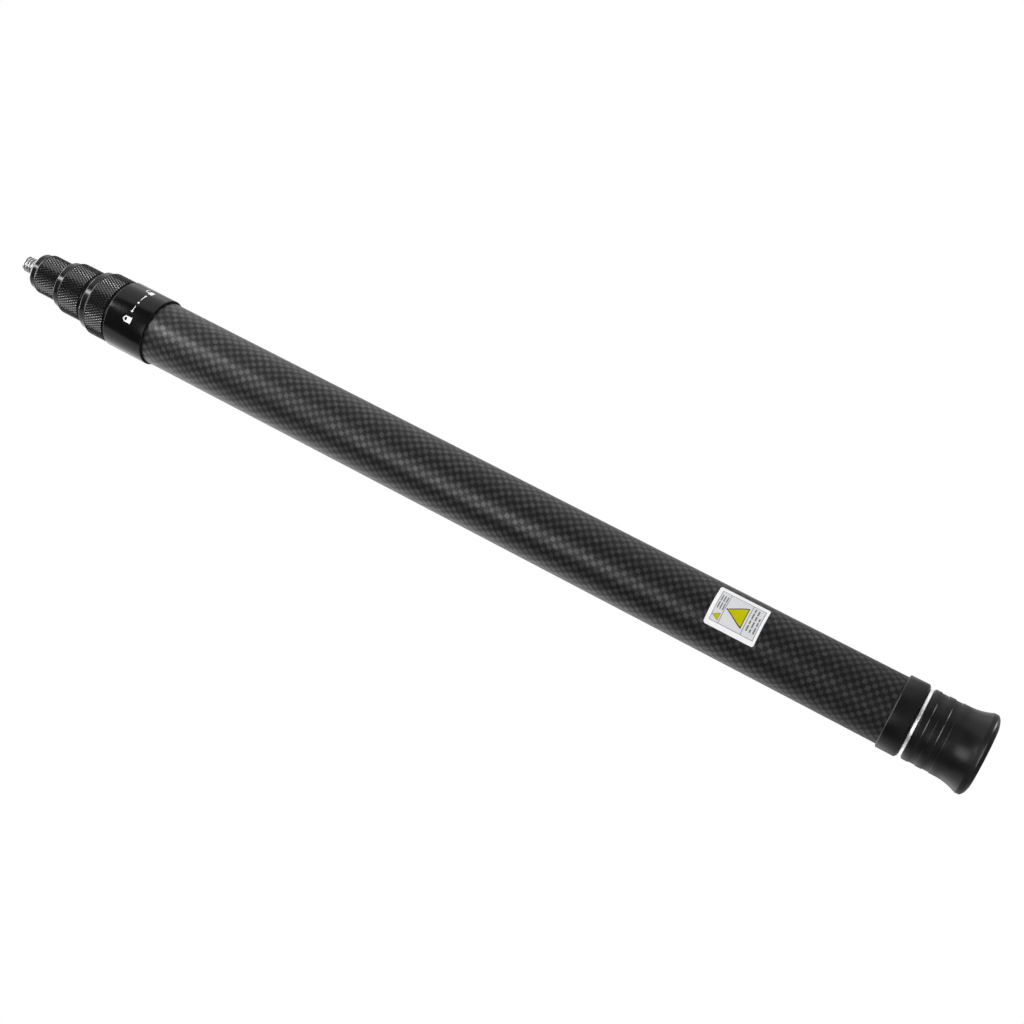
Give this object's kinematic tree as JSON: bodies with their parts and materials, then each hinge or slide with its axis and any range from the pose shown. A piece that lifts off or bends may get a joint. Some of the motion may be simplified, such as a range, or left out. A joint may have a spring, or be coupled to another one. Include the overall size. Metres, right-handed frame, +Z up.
{
  "type": "telescoping prism pole",
  "caption": "Collapsed telescoping carbon-fibre pole with twist-lock sections, knurled grip collars, a threaded stud at the tip and a flared end cap.",
  "frame": {"origin": "centre of the foot pad's face, on the pole's axis", "axes": "+Z up the pole from the foot to the stud; -Y is the side that carries the lock marks, and the label is turned a little from -Y towards +X"},
  "size_m": [0.0294, 0.0294, 0.4067],
  "materials": {
    "carbon_fibre": "dark woven carbon laminate under satin resin",
    "black_anodised": "turned, black anodised, satin; the grip collars diamond knurled",
    "polished_aluminium": "polished bright",
    "stainless_steel": "bright machined thread",
    "plain_aluminium": "turned, uncoated",
    "pale_nylon": "natural moulded nylon",
    "black_rubber": "matte",
    "label_film": null
  },
  "bodies": {
    "main_section": {"main_tube": "carbon_fibre", "butt_ferrule": "black_anodised", "index_ferrule": "black_anodised", "label": "label_film", "butt_plug": "plain_aluminium", "cap_o_ring": "black_rubber", "bumper_pad": "black_rubber", "guide_bush_1": "pale_nylon"},
    "cap_ring": {"trim_ring": "polished_aluminium"},
    "cap": {"end_cap": "black_anodised", "foot_pad": "black_rubber"},
    "expander_2": {"lock_expander_2": "pale_nylon"},
    "section_2": {"tube_2": "carbon_fibre", "collar_2": "black_anodised", "lock_spindle_2": "plain_aluminium", "spindle_screw_2": "plain_aluminium", "guide_bush_2": "pale_nylon"},
    "expander_3": {"lock_expander_3": "pale_nylon"},
    "section_3": {"tube_3": "carbon_fibre", "collar_3": "black_anodised", "lock_spindle_3": "plain_aluminium", "spindle_screw_3": "plain_aluminium", "guide_bush_3": "pale_nylon"},
    "expander_4": {"lock_expander_4": "pale_nylon"},
    "section_4": {"tube_4": "carbon_fibre", "collar_4": "black_anodised", "lock_spindle_4": "plain_aluminium", "spindle_screw_4": "plain_aluminium", "stud_plug": "plain_aluminium", "mounting_stud": "stainless_steel"}
  },
  "joints": [
    {"name": "section_2_slide", "type": "slide", "parent": "main_section", "child": "expander_2", "axis": [0, 0, 1], "range_m": [0, 0.2765]},
    {"name": "section_2_twist", "type": "hinge", "parent": "expander_2", "child": "section_2", "pos_m": [0, 0, 0.062], "axis": [0, 0, 1], "range_deg": [0, 67]},
    {"name": "section_3_slide", "type": "slide", "parent": "section_2", "child": "expander_3", "axis": [0, 0, 1], "range_m": [0, 0.2515]},
    {"name": "section_3_twist", "type": "hinge", "parent": "expander_3", "child": "section_3", "pos_m": [0, 0, 0.097], "axis": [0, 0, 1], "range_deg": [0, 67]},
    {"name": "section_4_slide", "type": "slide", "parent": "section_3", "child": "expander_4", "axis": [0, 0, 1], "range_m": [0, 0.2315]},
    {"name": "section_4_twist", "type": "hinge", "parent": "expander_4", "child": "section_4", "pos_m": [0, 0, 0.132], "axis": [0, 0, 1], "range_deg": [0, 67]},
    {"name": "cap_slide", "type": "slide", "parent": "main_section", "child": "cap_ring", "axis": [0, 0, -1], "range_m": [0, 0.006]},
    {"name": "cap_twist", "type": "hinge", "parent": "cap_ring", "child": "cap", "pos_m": [0, 0, 0.0235], "axis": [0, 0, -1], "range_deg": [0, 1440]}
  ],
  "couplings": [
    {"joint": "cap_twist", "follows": "cap_slide", "rad_per_m": 4188.8}
  ]
}
